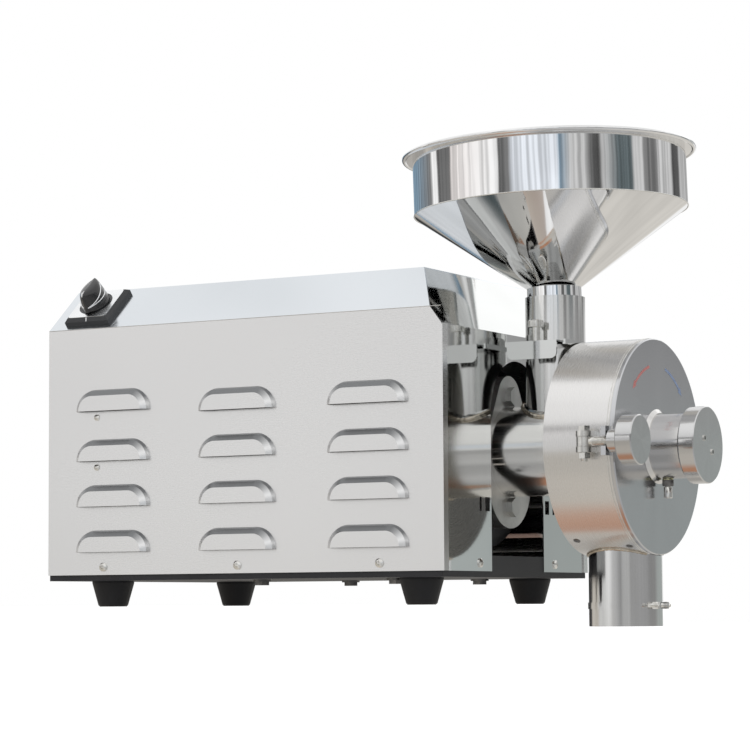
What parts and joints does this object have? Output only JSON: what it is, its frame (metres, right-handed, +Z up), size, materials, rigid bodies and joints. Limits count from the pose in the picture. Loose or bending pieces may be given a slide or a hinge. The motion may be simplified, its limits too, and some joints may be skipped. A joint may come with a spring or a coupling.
{
  "type": "electric grain grinder",
  "caption": "Bench grain mill: louvred steel casing with a motor, bearing tube, round grinding drum with adjuster, swing clamp, feed gate and round hopper.",
  "frame": {"origin": "midpoint of the four feet, on the surface that they stand on", "axes": "+X from the casing to the grinding drum along the mill shaft, +Z up"},
  "size_m": [0.6487, 0.319, 0.4527],
  "materials": {
    "base_pan": "satin black",
    "rubber_feet": "moulded",
    "foot_screws": "bright zinc",
    "near_side_panel": "fine satin",
    "far_side_panel": "fine satin",
    "top_cover": "polished",
    "end_panel": "mirror polished",
    "rear_panel": "fine satin",
    "panel_screws": "bright",
    "cable_inlet": "moulded",
    "motor_shell": "painted grey",
    "stator_core": "laminated steel",
    "stator_coils": "varnished copper",
    "motor_front_bell": "painted dark grey",
    "motor_rear_bell": "painted grey",
    "fan_cowl": "satin",
    "motor_cradle": "satin",
    "motor_bolts": "bright zinc",
    "terminal_box": "satin",
    "run_capacitor": "gloss",
    "bearing_flange": "as cast, silver grey",
    "flange_bolts": "bright zinc",
    "bearing_tube": "turned",
    "shaft_bearings": "ground",
    "feed_tube": "polished",
    "gate_guide": "polished",
    "hopper": "polished sheet",
    "grinding_drum": "turned",
    "outlet_pipe": "polished tube",
    "bag_band": "bright",
    "band_screw": "bright",
    "drum_cover": "satin turned face",
    "cover_hinge": "satin",
    "hinge_pin": "bright",
    "clamp_ears": "satin",
    "clamp_pivot": "bright",
    "adjuster_sleeve": "turned",
    "lock_screw": "bright",
    "switch_plate": "moulded black with a silver face",
    "switch_body": "moulded",
    "mill_shaft": "ground",
    "rotor_core": "laminated steel",
    "cooling_fan": "moulded",
    "feed_screw": "cast and ground",
    "turning_disc": "grooved face",
    "disc_nut": "bright",
    "feed_gate": "satin sheet",
    "gate_knob": "knurled",
    "switch_knob": "moulded black",
    "adjuster_stem": "turned",
    "fixed_disc": "grooved face",
    "adjuster_wheel": "turned",
    "wheel_screws": "bright",
    "swing_bolt": "bright",
    "hand_nut": "turned"
  },
  "bodies": {
    "machine": {"base_pan": "base_pan", "rubber_feet": "rubber_feet", "foot_screws": "foot_screws", "near_side_panel": "near_side_panel", "far_side_panel": "far_side_panel", "top_cover": "top_cover", "end_panel": "end_panel", "rear_panel": "rear_panel", "panel_screws": "panel_screws", "cable_inlet": "cable_inlet", "motor_shell": "motor_shell", "stator_core": "stator_core", "stator_coils": "stator_coils", "motor_front_bell": "motor_front_bell", "motor_rear_bell": "motor_rear_bell", "fan_cowl": "fan_cowl", "motor_cradle": "motor_cradle", "motor_bolts": "motor_bolts", "terminal_box": "terminal_box", "run_capacitor": "run_capacitor", "bearing_flange": "bearing_flange", "flange_bolts": "flange_bolts", "bearing_tube": "bearing_tube", "shaft_bearings": "shaft_bearings", "feed_tube": "feed_tube", "gate_guide": "gate_guide", "hopper": "hopper", "grinding_drum": "grinding_drum", "outlet_pipe": "outlet_pipe", "bag_band": "bag_band", "band_screw": "band_screw", "drum_cover": "drum_cover", "cover_hinge": "cover_hinge", "hinge_pin": "hinge_pin", "clamp_ears": "clamp_ears", "clamp_pivot": "clamp_pivot", "adjuster_sleeve": "adjuster_sleeve", "switch_plate": "switch_plate", "switch_body": "switch_body"},
    "rotor": {"mill_shaft": "mill_shaft", "rotor_core": "rotor_core", "cooling_fan": "cooling_fan", "feed_screw": "feed_screw", "turning_disc": "turning_disc", "disc_nut": "disc_nut"},
    "gate": {"feed_gate": "feed_gate", "gate_knob": "gate_knob"},
    "selector": {"switch_knob": "switch_knob"},
    "carriage": {"adjuster_stem": "adjuster_stem", "fixed_disc": "fixed_disc"},
    "wheel": {"adjuster_wheel": "adjuster_wheel", "wheel_screws": "wheel_screws"},
    "lock": {"lock_screw": "lock_screw"},
    "swing_arm": {"swing_bolt": "swing_bolt"},
    "nut": {"hand_nut": "hand_nut"}
  },
  "joints": [
    {"name": "shaft_spin", "type": "hinge", "parent": "machine", "child": "rotor", "pos_m": [0, 0, 0.144], "axis": [1, 0, 0], "continuous": true},
    {"name": "gate_slide", "type": "slide", "parent": "machine", "child": "gate", "axis": [0, -1, 0], "range_m": [0, 0.052]},
    {"name": "switch_turn", "type": "hinge", "parent": "machine", "child": "selector", "pos_m": [-0.1795, -0.12675, 0.2915], "axis": [0, -0.6558, 0.7549], "range_deg": [0, 90]},
    {"name": "adjust_slide", "type": "slide", "parent": "machine", "child": "carriage", "axis": [1, 0, 0], "range_m": [-0.0018, 0.006]},
    {"name": "adjust_turn", "type": "hinge", "parent": "carriage", "child": "wheel", "pos_m": [0.3942, 0, 0.144], "axis": [1, 0, 0], "range_deg": [-435, 1445]},
    {"name": "lock_turn", "type": "hinge", "parent": "machine", "child": "lock", "pos_m": [0.36987, 0, 0.114], "axis": [0, 0, 1], "range_deg": [0, 720]},
    {"name": "clamp_swing", "type": "hinge", "parent": "machine", "child": "swing_arm", "pos_m": [0.3368, -0.11, 0.144], "axis": [0, 0, -1], "range_deg": [0, 100]},
    {"name": "hand_nut_turn", "type": "hinge", "parent": "swing_arm", "child": "nut", "pos_m": [0.3631, -0.11, 0.144], "axis": [1, 0, 0], "range_deg": [0, 1080]}
  ],
  "couplings": [
    {"joint": "adjust_turn", "follows": "adjust_slide", "rad_per_m": 4188.8}
  ]
}
